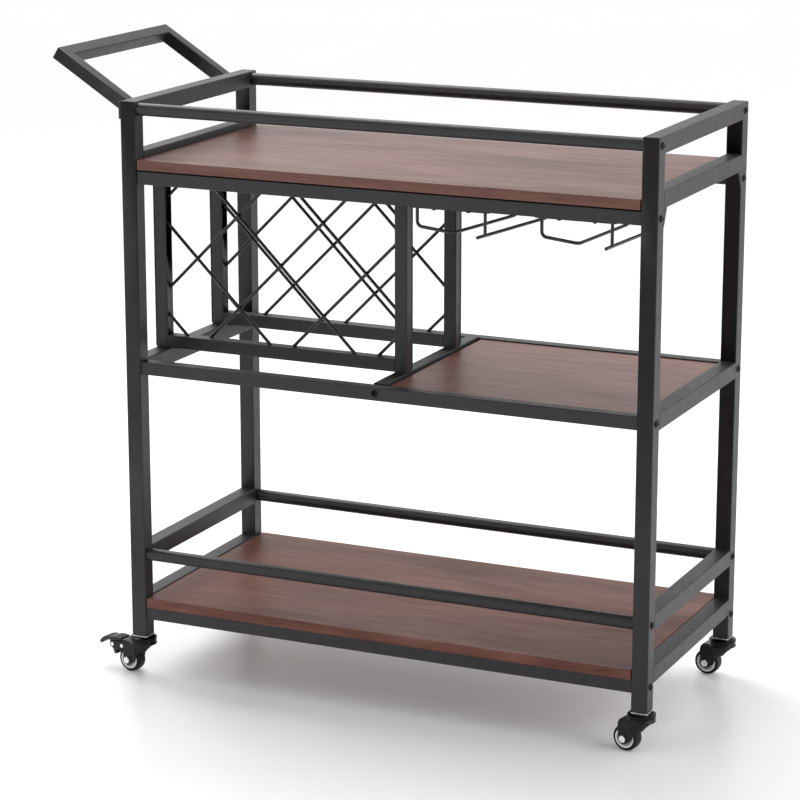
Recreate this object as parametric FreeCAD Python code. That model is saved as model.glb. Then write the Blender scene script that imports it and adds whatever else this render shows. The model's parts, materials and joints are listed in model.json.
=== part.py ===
import FreeCAD, Part
import math
import os

# Bar cart on casters: a steel tube frame carrying three wooden boards, a wire
# bottle rack, two wire glass holders and a slanted push handle.
# Millimetres. +Z is up, the floor is Z = 0, +X runs away from the handle and
# the front of the cart faces -Y.

# --- driving dimensions ---
FRAME_LENGTH = 848.0
FRAME_DEPTH = 390.0
FRAME_LEFT = -362.0
LEG_HEIGHT = 834.0
LEG = 25.0
LEG_WALL = 1.2
RAIL = 20.0
RAIL_WALL = 1.2
PIPE_D = 19.0
TUBE_ROUND = 1.5
CASTER_HEIGHT = 64.0

BOARD = 15.0
BOARD_GAP = 1.5
TOP_BOARD_Z = 796.0
MID_BOARD_Z = 485.0
LOW_BOARD_Z = 112.0

SIDE_RAIL_Z = {"upper": 796.0, "mid": 479.0, "guard": 182.5, "low": 103.0}
LONG_RAIL_Z = {"upper": 774.0, "mid": 482.0, "low": 92.0}
PIPE_Z = {"top": 885.5, "guard": 195.0}
PLUG = 10.0
SPACER_WIDTH = 12.0
TAB = (30.0, 24.0, 2.0)
TAB_INSET = 35.0
MID_BOARD_END_GAP = 4.0
MID_BOARD_SIDE_GAP = 2.0
GUSSET_ACROSS = 12.0
GUSSET_DOWN = 26.0
GUSSET_T = 3.0

BOLT_D = 6.0
BOLT_HEAD_D = 11.0
BOLT_HEAD_H = 3.0
BOLT_HOLE_D = 6.4
SOCKET_R = 2.2
SOCKET_DEPTH = 1.8

RACK_LENGTH = 425.0
RACK_Y = 90.0
RACK_FOOT_Z = 504.0
LATTICE_PITCH = 142.5
LATTICE_ROW_Z = 648.0
LATTICE_WIRE_D = 5.0

HOLDER_WIRE_D = 5.0
HOLDER_START = [479.5, 671.5]
HOLDER_LEAN = [9.5, 4.0]
HOLDER_STEP = 56.0
HOLDER_WIDTH = 105.5
HOLDER_LOW_Z = 739.5
HOLDER_RISE = 6.0
HOLDER_TIP = 20.0
HOLDER_BACK_Y = -15.0
STRIP = 14.0
STRIP_T = 1.5
STRIP_OVERHANG = 8.0
WIRE_BEND = 8.0
SCREW_D = 3.9
SCREW_CLEAR_D = 4.2
SCREW_OFFSETS = {"front": [26.0, 79.5], "back": [80.5]}
SCREW_BITE = 6.0
BOARD_SCREW_X = [218.0, 630.0]
BOARD_SCREW_DEPTH = 10.0

HANDLE_SLOPE = 32.0
HANDLE_REACH = 132.5
HANDLE_HALF_WIDTH = 165.0
HANDLE_TOP_Z = 892.0
HANDLE_PLATE_T = 3.0
HANDLE_PLATE_Z = (871.0, 896.0)
HANDLE_PLATE_WIDTH = 52.0

CASTER_TURN = {"fl": -10.0, "fr": -11.0, "bl": -5.0, "br": -6.0}
BRAKED = ["fl", "bl"]
WHEEL_R = 20.0
WHEEL_T = 18.0
TYRE_BORE_R = 15.2
TRAIL = 23.0
AXLE_D = 6.0
STEM_D = 10.0
STEM_TOP_Z = 82.0
INSERT_FLANGE = 1.5
INSERT_LENGTH = 22.0
KINGPIN_D = 8.0
RACE_R = 21.0
FORK_IN = 10.4
FORK_OUT = 12.4
FORK_TOP_Z = 51.5
FORK_CUP_TOP = 55.6
RUN_CLEARANCE = 0.05
PIN_D = 4.0
BRAKE_PIVOT = (-53.7, 40.0)
BRAKE_RIVET = (-34.7, 40.3)

# --- positions that follow from them ---
LEFT = FRAME_LEFT
RIGHT = FRAME_LEFT + FRAME_LENGTH
HALF_DEPTH = FRAME_DEPTH / 2
LEG_BOTTOM = CASTER_HEIGHT
LEG_TOP = CASTER_HEIGHT + LEG_HEIGHT
LEG_Y = HALF_DEPTH - LEG / 2
INNER_LEFT = LEFT + LEG
INNER_RIGHT = RIGHT - LEG
RACK_RIGHT = LEFT + RACK_LENGTH
CROSS_X = RACK_RIGHT - RAIL / 2
CROSS_BOLT_Z = RACK_FOOT_Z - RAIL / 2 - 1
HOLDER_LEFT_X = [LEFT + start for start in HOLDER_START]
SIDES = {"front": -1, "back": 1}
HOLDER_SEATS = {"front": (-LEG_Y, LONG_RAIL_Z["upper"]), "back": (HOLDER_BACK_Y, TOP_BOARD_Z)}
BOLT_Z = list(PIPE_Z.values()) + [z + RAIL / 2 for z in LONG_RAIL_Z.values()]


def vec(x, y, z):
    return FreeCAD.Vector(x, y, z)


def box(x0, x1, y0, y1, z0, z1):
    return Part.makeBox(x1 - x0, y1 - y0, z1 - z0, vec(x0, y0, z0))


def cylinder(radius, start, along, length):
    return Part.makeCylinder(radius, length, start, along)


def polygon(points):
    return Part.Face(Part.makePolygon(points + [points[0]]))


def rounded_square(half, radius, centre, u, v):
    """Face of a square with rounded corners, spanned by the directions u and v."""
    edges = []
    flat = half - radius
    bulge = flat + radius * math.sqrt(0.5)
    corner = [(1, 1), (-1, 1), (-1, -1), (1, -1)]
    ends = []
    for a, b in corner:
        on_u = centre + u * (a * half) + v * (b * flat)
        on_v = centre + u * (a * flat) + v * (b * half)
        middle = centre + u * (a * bulge) + v * (b * bulge)
        first, last = (on_u, on_v) if a * b > 0 else (on_v, on_u)
        edges.append(Part.Arc(first, middle, last).toShape())
        ends.append((first, last))
    for i in range(4):
        edges.append(Part.makeLine(ends[i][1], ends[(i + 1) % 4][0]))
    return Part.Face(Part.Wire(Part.__sortEdges__(edges)))


def square_tube(size, wall, start, end, side):
    """Hollow square tube from start to end, with one face turned towards side."""
    along = end - start
    direction = FreeCAD.Vector(along).normalize()
    other = direction.cross(side)
    outer = rounded_square(size / 2, TUBE_ROUND, start, side, other).extrude(along)
    inner = rounded_square(size / 2 - wall, TUBE_ROUND / 2, start, side, other).extrude(along)
    return outer.cut(inner)


# --- end frames ---
def corner_wedge(sign, side):
    """Prism on one side of the mitre plane at the top corner of an end frame."""
    y_in = sign * (HALF_DEPTH - LEG)
    y_out = sign * HALF_DEPTH
    reach = 60.0
    a = vec(LEFT - reach, y_in + (y_in - y_out), LEG_TOP - 2 * LEG)
    b = vec(LEFT - reach, y_out + (y_out - y_in), LEG_TOP + LEG)
    if side == "leg":
        c = vec(LEFT - reach, y_out + (y_out - y_in), LEG_TOP - 2 * LEG)
    else:
        c = vec(LEFT - reach, y_in + (y_in - y_out), LEG_TOP + LEG)
    return polygon([a, b, c]).extrude(vec(FRAME_LENGTH + 2 * reach, 0, 0))


def bolt_hole(x, sign, z):
    """Clearance hole for a frame bolt, right through a tube centred on x."""
    return cylinder(BOLT_HOLE_D / 2, vec(x - LEG, sign * LEG_Y, z), vec(1, 0, 0), 2 * LEG)


def leg(x, sign):
    start = vec(x, sign * LEG_Y, LEG_BOTTOM)
    tube = square_tube(LEG, LEG_WALL, start, vec(x, sign * LEG_Y, LEG_TOP), vec(1, 0, 0))
    tube = tube.cut(corner_wedge(sign, "rail"))
    for z in BOLT_Z:
        tube = tube.cut(bolt_hole(x, sign, z))
    return tube


def mitred_rail(x):
    """Top side rail, mitred onto both legs and drilled for the uppermost bolts."""
    z = LEG_TOP - LEG / 2
    rail = square_tube(LEG, LEG_WALL, vec(x, -HALF_DEPTH, z), vec(x, HALF_DEPTH, z), vec(1, 0, 0))
    for sign in SIDES.values():
        rail = rail.cut(corner_wedge(sign, "leg"))
        rail = rail.cut(bolt_hole(x, sign, PIPE_Z["top"]))
    return rail


def gusset(x, sign):
    """Small triangular plate under the upper side rail, flush with its outer face."""
    y0 = sign * (HALF_DEPTH - LEG)
    y1 = sign * (HALF_DEPTH - LEG - GUSSET_ACROSS)
    z = SIDE_RAIL_Z["upper"]
    face = polygon([vec(x, y0, z), vec(x, y1, z), vec(x, y0, z - GUSSET_DOWN)])
    return face.extrude(vec(GUSSET_T, 0, 0))


def end_frame(x, gusset_x):
    """Two legs joined by five side rails, as one welded frame."""
    y_in = HALF_DEPTH - LEG
    solids = [leg(x, sign) for sign in SIDES.values()]
    solids.append(mitred_rail(x))
    for bottom in SIDE_RAIL_Z.values():
        z = bottom + LEG / 2
        solids.append(square_tube(LEG, LEG_WALL, vec(x, -y_in, z), vec(x, y_in, z), vec(1, 0, 0)))
    for sign in SIDES.values():
        solids.append(gusset(gusset_x, sign))
    return Part.makeCompound(solids)


# --- long rails ---
def tapped_plug(shape, y, z):
    """Bore the tapped bolt hole into both closed ends of a long rail."""
    for x in (INNER_LEFT - 1, INNER_RIGHT - PLUG - 1):
        shape = shape.cut(cylinder(BOLT_D / 2, vec(x, y, z), vec(1, 0, 0), PLUG + 2))
    return shape


def holder_screw_bores(shape, seat, diameter):
    """Bores of the glass holder screws, up into the rail or the board above a strip."""
    y, z = HOLDER_SEATS[seat]
    for x in screw_places(seat):
        shape = shape.cut(cylinder(diameter / 2, vec(x, y, z - 1), vec(0, 0, 1), 1 + SCREW_BITE))
    return shape


def board_screw_bores(shape, sign, diameter):
    """Bores of the board screws through a rail, a spacer or into the board."""
    start = LONG_RAIL_Z["upper"] - 1
    top = TOP_BOARD_Z + BOARD_SCREW_DEPTH
    for x in BOARD_SCREW_X:
        bore = cylinder(diameter / 2, vec(LEFT + x, sign * LEG_Y, start), vec(0, 0, 1), top - start)
        shape = shape.cut(bore)
    return shape


def cross_bar_hole(sign):
    """Clearance hole through a middle rail for the bolt into the end of the cross bar."""
    start = vec(CROSS_X, sign * (HALF_DEPTH + 5), CROSS_BOLT_Z)
    return cylinder(BOLT_HOLE_D / 2, start, vec(0, -sign, 0), 5 + RAIL + 5)


def long_rail(level, sign):
    z = LONG_RAIL_Z[level] + RAIL / 2
    y = sign * LEG_Y
    start, end = vec(INNER_LEFT, y, z), vec(INNER_RIGHT, y, z)
    tube = square_tube(RAIL, RAIL_WALL, start, end, vec(0, 1, 0))
    half = RAIL / 2 - RAIL_WALL
    for x in (INNER_LEFT, INNER_RIGHT - PLUG):
        tube = tube.fuse(box(x, x + PLUG, y - half, y + half, z - half, z + half))
    rail = tapped_plug(tube, y, z)
    if level == "upper":
        rail = board_screw_bores(rail, sign, SCREW_CLEAR_D)
    if level == "upper" and sign == SIDES["front"]:
        rail = holder_screw_bores(rail, "front", SCREW_CLEAR_D)
    if level == "mid":
        rail = rail.cut(cross_bar_hole(sign))
    return rail.removeSplitter()


def pipe_rail(level, sign):
    z = PIPE_Z[level]
    y = sign * LEG_Y
    length = INNER_RIGHT - INNER_LEFT
    pipe = cylinder(PIPE_D / 2, vec(INNER_LEFT, y, z), vec(1, 0, 0), length)
    bore = PIPE_D / 2 - RAIL_WALL
    hollow = cylinder(bore, vec(INNER_LEFT + PLUG, y, z), vec(1, 0, 0), length - 2 * PLUG)
    return tapped_plug(pipe.cut(hollow), y, z)


def cross_bar():
    """Bar between the middle rails, with a tapped plug in each end."""
    y_in = LEG_Y - RAIL / 2
    z = RACK_FOOT_Z - RAIL / 2
    half = RAIL / 2 - RAIL_WALL
    bar = square_tube(RAIL, RAIL_WALL, vec(CROSS_X, -y_in, z), vec(CROSS_X, y_in, z), vec(1, 0, 0))
    for sign in SIDES.values():
        y0, y1 = sorted([sign * y_in, sign * (y_in - PLUG)])
        plug = box(CROSS_X - half, CROSS_X + half, y0, y1, z - half, z + half)
        bore = cylinder(BOLT_D / 2, vec(CROSS_X, y0 - 1, CROSS_BOLT_Z), vec(0, 1, 0), PLUG + 2)
        bar = bar.fuse(plug).cut(bore)
    return bar.removeSplitter()


def bolt(seat, axis, grip):
    """Button-head bolt with a hexagon socket, its head resting at seat and facing along axis."""
    head = Part.makeCone(BOLT_HEAD_D / 2, BOLT_HEAD_D / 2 - 2.2, BOLT_HEAD_H, seat, axis)
    shank = cylinder(BOLT_D / 2, seat, axis * -1, grip)
    up = vec(0, 0, SOCKET_R)
    across = axis.cross(up)
    centre = seat + axis * (BOLT_HEAD_H - SOCKET_DEPTH)
    socket = []
    for i in range(6):
        angle = math.radians(60 * i)
        socket.append(centre + across * math.cos(angle) + up * math.sin(angle))
    return head.fuse(shank).cut(polygon(socket).extrude(axis * BOLT_HEAD_H))


def frame_bolts():
    """Five bolts through each leg and one into each end of the cross bar."""
    bolts = []
    for sign in SIDES.values():
        y = sign * LEG_Y
        for z in BOLT_Z:
            plate = HANDLE_PLATE_T if z == PIPE_Z["top"] else 0
            bolts.append(bolt(vec(LEFT - plate, y, z), vec(-1, 0, 0), plate + LEG + PLUG - 1))
            bolts.append(bolt(vec(RIGHT, y, z), vec(1, 0, 0), LEG + PLUG - 1))
        seat = vec(CROSS_X, y + sign * RAIL / 2, CROSS_BOLT_Z)
        bolts.append(bolt(seat, vec(0, sign, 0), RAIL + PLUG - 1))
    return Part.makeCompound(bolts)


# --- boards ---
def softened(board, radius=1.0):
    """Board with its top edges lightly rounded."""
    top = board.BoundBox.ZMax
    edges = [e for e in board.Edges if e.BoundBox.ZMax > top - 0.01]
    return board.makeFillet(radius, edges)


def top_board():
    x0, x1 = INNER_LEFT + BOARD_GAP, INNER_RIGHT - BOARD_GAP
    board = softened(box(x0, x1, -HALF_DEPTH, HALF_DEPTH, TOP_BOARD_Z, TOP_BOARD_Z + BOARD))
    for sign in SIDES.values():
        board = board_screw_bores(board, sign, SCREW_D)
    return holder_screw_bores(board, "back", SCREW_D)


def low_board():
    x0, x1 = INNER_LEFT + BOARD_GAP, INNER_RIGHT - BOARD_GAP
    return softened(box(x0, x1, -HALF_DEPTH, HALF_DEPTH, LOW_BOARD_Z, LOW_BOARD_Z + BOARD))


def mid_board():
    y = LEG_Y - RAIL / 2 - MID_BOARD_SIDE_GAP
    x0, x1 = RACK_RIGHT + MID_BOARD_END_GAP, INNER_RIGHT - BOARD_GAP
    return softened(box(x0, x1, -y, y, MID_BOARD_Z, MID_BOARD_Z + BOARD))


def board_spacers():
    """Thin strips that lift the top board off its rails."""
    strips = []
    z = LONG_RAIL_Z["upper"] + RAIL
    for sign in SIDES.values():
        y = sign * LEG_Y
        half = SPACER_WIDTH / 2
        strip = box(INNER_LEFT + 5, INNER_RIGHT - 5, y - half, y + half, z, TOP_BOARD_Z)
        strips.append(board_screw_bores(strip, sign, SCREW_CLEAR_D))
    return Part.makeCompound(strips)


def shelf_tabs():
    """Tabs welded to the middle rails, under the middle board."""
    tabs = []
    half = TAB[0] / 2
    y_in = LEG_Y - RAIL / 2
    middle = (RACK_RIGHT + INNER_RIGHT) / 2
    for sign in SIDES.values():
        y0, y1 = sorted([sign * y_in, sign * (y_in - TAB[1])])
        for x in (RACK_RIGHT + TAB_INSET, middle, INNER_RIGHT - TAB_INSET):
            tabs.append(box(x - half, x + half, y0, y1, MID_BOARD_Z - TAB[2], MID_BOARD_Z))
    return Part.makeCompound(tabs)


# --- bottle rack ---
def rack_frame(sign):
    """Two posts with a bottom and a top rail between them."""
    y = sign * RACK_Y
    half = RAIL / 2
    left, right = LEFT + half, RACK_RIGHT - half
    solids = []
    for x in (left, right):
        start, end = vec(x, y, RACK_FOOT_Z), vec(x, y, TOP_BOARD_Z)
        solids.append(square_tube(RAIL, RAIL_WALL, start, end, vec(1, 0, 0)))
    for z in (RACK_FOOT_Z + half, TOP_BOARD_Z - half):
        start, end = vec(left + half, y, z), vec(right - half, y, z)
        solids.append(square_tube(RAIL, RAIL_WALL, start, end, vec(0, 1, 0)))
    return Part.makeCompound(solids)


def rack_lattice(sign):
    """Crossed wires at 45 degrees, one family lying in front of the other."""
    x0, x1 = LEFT + RAIL, RACK_RIGHT - RAIL
    z0, z1 = RACK_FOOT_Z + RAIL, TOP_BOARD_Z - RAIL
    opening = box(x0, x1, -HALF_DEPTH, HALF_DEPTH, z0, z1)
    radius = LATTICE_WIRE_D / 2
    wires = []
    for slope in (-1, 1):
        y = sign * RACK_Y + slope * radius
        for k in range(-2, 3):
            x = (x0 + x1) / 2 + k * LATTICE_PITCH
            start = vec(x - 400, y, LATTICE_ROW_Z - slope * 400)
            wire = cylinder(radius, start, vec(1, 0, slope), 800 * math.sqrt(2))
            wires.append(wire.common(opening))
    return Part.makeCompound(wires)


# --- glass holders ---
def holder_shift(index, y):
    """Sideways shift of a holder run at depth y, from its lean."""
    return math.tan(math.radians(HOLDER_LEAN[index])) * (y + LEG_Y)


def screw_places(seat):
    """X of every glass holder screw along the front or the back strips."""
    places = []
    for index, x in enumerate(HOLDER_LEFT_X):
        for offset in SCREW_OFFSETS[seat]:
            places.append(x + offset + holder_shift(index, HOLDER_SEATS[seat][0]))
    return places


def swept_wire(points, radius, bend):
    """Round wire along straight runs with a bend of the given radius between them."""
    edges = []
    last = points[0]
    for i in range(1, len(points) - 1):
        before = (points[i - 1] - points[i]).normalize()
        after = (points[i + 1] - points[i]).normalize()
        half_angle = before.getAngle(after) / 2
        setback = bend / math.tan(half_angle)
        centre = points[i] + (before + after).normalize() * (bend / math.sin(half_angle))
        enter = points[i] + before * setback
        leave = points[i] + after * setback
        middle = centre + (points[i] - centre).normalize() * bend
        edges.append(Part.makeLine(last, enter))
        edges.append(Part.Arc(enter, middle, leave).toShape())
        last = leave
    edges.append(Part.makeLine(last, points[-1]))
    path = Part.Wire(edges)
    tangent = (points[1] - points[0]).normalize()
    profile = Part.Wire(Part.makeCircle(radius, points[0], tangent))
    return path.makePipeShell([profile], True, True)


def holder_wires(index):
    """Stepped wire and straight wire that bound one slot for glass stems."""
    radius = HOLDER_WIRE_D / 2
    low = HOLDER_LOW_Z
    front_z = HOLDER_SEATS["front"][1] - STRIP_T
    back_z = HOLDER_SEATS["back"][1] - STRIP_T
    x = HOLDER_LEFT_X[index]
    corner = x + HOLDER_STEP
    end = x + HOLDER_WIDTH
    back = holder_shift(index, HOLDER_BACK_Y)
    tip_y = -LEG_Y - HOLDER_TIP
    stepped = swept_wire([
        vec(x, -LEG_Y, front_z),
        vec(x, -LEG_Y, low + HOLDER_RISE),
        vec(corner, -LEG_Y, low),
        vec(corner + back, HOLDER_BACK_Y, low),
        vec(corner + back, HOLDER_BACK_Y, back_z),
    ], radius, WIRE_BEND)
    straight = swept_wire([
        vec(end + holder_shift(index, tip_y), tip_y, low),
        vec(end + back, HOLDER_BACK_Y, low),
        vec(end + back, HOLDER_BACK_Y, back_z),
    ], radius, WIRE_BEND)
    drop = cylinder(radius - 0.1, vec(end, -LEG_Y, low), vec(0, 0, 1), front_z - low)
    return [stepped, straight.fuse(drop)]


def holder_strip(index, seat):
    """Flat strip that the wires are welded to, drilled for its screws."""
    y, seat_z = HOLDER_SEATS[seat]
    first = 0 if seat == "front" else HOLDER_STEP
    x0 = HOLDER_LEFT_X[index] + holder_shift(index, y) + first - STRIP_OVERHANG
    x1 = HOLDER_LEFT_X[index] + holder_shift(index, y) + HOLDER_WIDTH + STRIP_OVERHANG
    strip = box(x0, x1, y - STRIP / 2, y + STRIP / 2, seat_z - STRIP_T, seat_z)
    for x in screw_places(seat):
        hole = cylinder(SCREW_CLEAR_D / 2, vec(x, y, seat_z - STRIP_T - 1), vec(0, 0, 1), STRIP_T + 2)
        strip = strip.cut(hole)
    return strip


def glass_holder(index):
    strips = [holder_strip(index, seat) for seat in HOLDER_SEATS]
    return Part.makeCompound(holder_wires(index) + strips)


def screw(x, y, z, length):
    """Cone-headed screw driven upwards, its head hanging under the plane z."""
    head = Part.makeCone(2.4, 4.0, 2.4, vec(x, y, z - 2.4), vec(0, 0, 1))
    return head.fuse(cylinder(SCREW_D / 2, vec(x, y, z), vec(0, 0, 1), length))


def holder_screws():
    screws = []
    for seat, (y, z) in HOLDER_SEATS.items():
        for x in screw_places(seat):
            screws.append(screw(x, y, z - STRIP_T, STRIP_T + SCREW_BITE - 1))
    return Part.makeCompound(screws)


def board_screws():
    """Screws through the upper rails and their spacers into the top board."""
    z = LONG_RAIL_Z["upper"]
    length = TOP_BOARD_Z + BOARD_SCREW_DEPTH - z
    screws = []
    for sign in SIDES.values():
        for x in BOARD_SCREW_X:
            screws.append(screw(LEFT + x, sign * LEG_Y, z, length))
    return Part.makeCompound(screws)


# --- handle ---
def handle():
    """U-shaped push handle of mitred square tube, bolted on through two end plates."""
    slope = math.radians(HANDLE_SLOPE)
    up = vec(math.sin(slope), 0, math.cos(slope))
    out = vec(-math.cos(slope), 0, math.sin(slope))
    half = RAIL / 2
    edge_x = LEFT - HANDLE_REACH + RAIL * math.sin(slope)
    edge_z = HANDLE_TOP_Z + (LEFT - edge_x) * math.tan(slope)
    grip = vec(edge_x, 0, edge_z) - up * half - out * half
    arm_y = HANDLE_HALF_WIDTH - half
    length = (LEFT - edge_x) / math.cos(slope) + 30
    side = vec(0, 1, 0)
    solids = []
    bar_start = grip - side * HANDLE_HALF_WIDTH
    bar = square_tube(RAIL, RAIL_WALL, bar_start, grip + side * HANDLE_HALF_WIDTH, up)
    plate_face = LEFT - HANDLE_PLATE_T
    behind_plate = box(plate_face, plate_face + 80, -200, 200, 700, 1000)
    below_plate = box(plate_face - 40, plate_face, -200, 200, 800, HANDLE_PLATE_Z[0])
    for sign in SIDES.values():
        centre = grip + side * (sign * arm_y)
        arm = square_tube(RAIL, RAIL_WALL, centre + out * half, centre - out * length, side)
        corner_in = centre - out * half - side * (sign * half)
        corner_out = centre + out * half + side * (sign * half)
        diagonal = corner_out - corner_in
        beyond = polygon([
            corner_in - diagonal - up * RAIL,
            corner_out + diagonal - up * RAIL,
            centre + out * 60 - side * (sign * 60) - up * RAIL,
        ]).extrude(up * (2 * RAIL))
        inward = polygon([
            corner_in - diagonal - up * RAIL,
            corner_out + diagonal - up * RAIL,
            centre - out * 60 + side * (sign * 60) - up * RAIL,
        ]).extrude(up * (2 * RAIL))
        solids.append(arm.cut(beyond).cut(behind_plate).cut(below_plate))
        bar = bar.cut(inward)
        plate_edge = HALF_DEPTH - 1
        y0, y1 = sorted([sign * plate_edge, sign * (plate_edge - HANDLE_PLATE_WIDTH)])
        plate = box(plate_face, LEFT, y0, y1, HANDLE_PLATE_Z[0], HANDLE_PLATE_Z[1])
        bore_start = vec(plate_face - 1, sign * LEG_Y, PIPE_Z["top"])
        bore = cylinder(BOLT_HOLE_D / 2, bore_start, vec(1, 0, 0), HANDLE_PLATE_T + 2)
        solids.append(plate.cut(bore))
    solids.append(bar)
    return Part.makeCompound(solids)


# --- casters, drawn with the stem on the Z axis and the wheel trailing to -X ---
def leg_inserts():
    """Flanged plugs that close the feet of the legs and take the caster stems."""
    plugs = []
    half = LEG / 2 - LEG_WALL
    for x in (LEFT + LEG / 2, RIGHT - LEG / 2):
        for sign in SIDES.values():
            y = sign * LEG_Y
            foot = vec(x, y, LEG_BOTTOM - INSERT_FLANGE)
            flange = rounded_square(LEG / 2, TUBE_ROUND, foot, vec(1, 0, 0), vec(0, 1, 0))
            plug = rounded_square(half, TUBE_ROUND / 2, foot, vec(1, 0, 0), vec(0, 1, 0))
            insert = flange.extrude(vec(0, 0, INSERT_FLANGE)).fuse(plug.extrude(vec(0, 0, INSERT_LENGTH)))
            plugs.append(insert.cut(cylinder(STEM_D / 2, foot, vec(0, 0, 1), INSERT_LENGTH)))
    return Part.makeCompound(plugs)


def revolve(profile):
    """Turn a closed (radius, height) profile about the Z axis."""
    face = polygon([vec(r, 0, z) for r, z in profile])
    return face.revolve(vec(0, 0, 0), vec(0, 0, 1), 360)


def caster_stem():
    """Stem, upper race and king pin in one."""
    king = KINGPIN_D / 2
    return revolve([
        (0, 45.4), (6.5, 45.4), (6.5, 48.6), (king, 48.6), (king, 56.0), (RACE_R - 1, 56.0),
        (RACE_R, 57.0), (RACE_R, 59.5), (RACE_R - 2.5, 62.5), (STEM_D / 2, 62.5),
        (STEM_D / 2, STEM_TOP_Z), (0, STEM_TOP_Z),
    ])


def fork_body():
    """Stamped channel: top plate, two side plates around the axle and a front web."""
    lobe = 9.0
    axle_z = WHEEL_R
    outline = [
        (-31.0, FORK_TOP_Z), (RACE_R, FORK_TOP_Z), (RACE_R, 49.5), (7.0, 38.5), (0.5, 31.0),
        (-TRAIL + lobe * 0.94, axle_z - lobe * 0.34), (-TRAIL - lobe * 0.97, axle_z + lobe * 0.24),
        (-33.0, 40.0),
    ]
    body = polygon([vec(x, -FORK_OUT, z) for x, z in outline]).extrude(vec(0, 2 * FORK_OUT, 0))
    body = body.fuse(cylinder(lobe, vec(-TRAIL, -FORK_OUT, axle_z), vec(0, 1, 0), 2 * FORK_OUT))
    cavity_outline = [
        (-60.0, FORK_TOP_Z - 2.5), (RACE_R - 2.5, FORK_TOP_Z - 2.5), (RACE_R - 2.5, 48.0),
        (4.0, 38.5), (-1.5, 32.0), (5.0, 26.0), (5.0, 5.0), (-60.0, 5.0),
    ]
    cavity = polygon([vec(x, -FORK_IN, z) for x, z in cavity_outline]).extrude(vec(0, 2 * FORK_IN, 0))
    nose = cylinder(RACE_R, vec(0, 0, 0), vec(0, 0, 1), 60).fuse(box(-60, 0, -20, 20, 0, 60))
    cup_height = FORK_CUP_TOP - FORK_TOP_Z + 1
    cup = Part.makeCone(RACE_R - 1.5, RACE_R - 0.5, cup_height, vec(0, 0, FORK_TOP_Z - 1), vec(0, 0, 1))
    flange = cylinder(RACE_R, vec(0, 0, FORK_TOP_Z - 2.5), vec(0, 0, 1), 2.5)
    body = body.common(nose).cut(cavity).fuse(cup).fuse(flange)
    body = body.cut(cylinder(KINGPIN_D / 2 + RUN_CLEARANCE, vec(0, 0, 40), vec(0, 0, 1), 30))
    axle_bore = cylinder(AXLE_D / 2, vec(-TRAIL, -20, axle_z), vec(0, 1, 0), 40)
    return body.cut(axle_bore).removeSplitter()


def brake_ears():
    """Rear ears of a braked fork, holding the pedal pivot."""
    px, pz = BRAKE_PIVOT
    outline = [(-30.0, 47.0), (px, pz + 5.0), (px, pz - 5.0), (-45.0, 33.5), (-32.0, 30.0)]
    ears = []
    for y in (-FORK_OUT, FORK_IN):
        plate = polygon([vec(x, y, z) for x, z in outline]).extrude(vec(0, FORK_OUT - FORK_IN, 0))
        lobe = cylinder(5.0, vec(px, y, pz), vec(0, 1, 0), FORK_OUT - FORK_IN)
        ears.append(plate.fuse(lobe))
    return ears


def fork(braked):
    body = fork_body()
    if braked:
        for ear in brake_ears():
            body = body.fuse(ear)
        for px, pz in (BRAKE_PIVOT, BRAKE_RIVET):
            body = body.cut(cylinder(PIN_D / 2, vec(px, -20, pz), vec(0, 1, 0), 40))
    return body.removeSplitter()


def hexagon(across_flats, centre, along, length):
    """Hexagonal prism about an axis parallel to Y."""
    radius = across_flats / math.sqrt(3)
    points = []
    for i in range(6):
        angle = math.radians(60 * i + 15)
        points.append(centre + vec(radius * math.cos(angle), 0, radius * math.sin(angle)))
    return polygon(points).extrude(along * length)


def axle_bolt():
    """Hexagon bolt through the fork and hub, with its nut on the far side."""
    along = vec(0, 1, 0)
    front = vec(-TRAIL, -FORK_OUT, WHEEL_R)
    head = hexagon(10.0, front, along * -1, 4.0)
    shank = cylinder(AXLE_D / 2, front, along, 2 * FORK_OUT + 6.0)
    nut = hexagon(10.0, vec(-TRAIL, FORK_OUT, WHEEL_R), along, 4.5)
    nut = nut.cut(cylinder(AXLE_D / 2, front, along, 50))
    return Part.makeCompound([head.fuse(shank), nut])


def turned(profile):
    """Solid of revolution about the wheel axle from (radius, across) points."""
    face = polygon([vec(-TRAIL + r, y, WHEEL_R) for r, y in profile])
    return face.revolve(vec(-TRAIL, 0, WHEEL_R), vec(0, 1, 0), 360)


def tyre():
    half = WHEEL_T / 2
    edge = WHEEL_R - 2.5
    shoulder = WHEEL_R - 0.7
    return turned([
        (TYRE_BORE_R, -half + 0.5), (TYRE_BORE_R + 1, -half), (edge, -half), (shoulder, -half + 1.2),
        (WHEEL_R, -half + 3.5), (WHEEL_R, half - 3.5), (shoulder, half - 1.2), (edge, half),
        (TYRE_BORE_R + 1, half), (TYRE_BORE_R, half - 0.5),
    ])


def rim():
    """Wheel core: a raised ring, a thinner web and a hub boss."""
    half = WHEEL_T / 2
    boss = half + 0.6
    bore = AXLE_D / 2 + RUN_CLEARANCE
    return turned([
        (bore, -boss), (6.5, -boss), (7.0, -4.0), (11.0, -4.0), (11.6, -half), (TYRE_BORE_R, -half),
        (TYRE_BORE_R, half), (11.6, half), (11.0, 4.0), (7.0, 4.0), (6.5, boss), (bore, boss),
    ])


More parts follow.
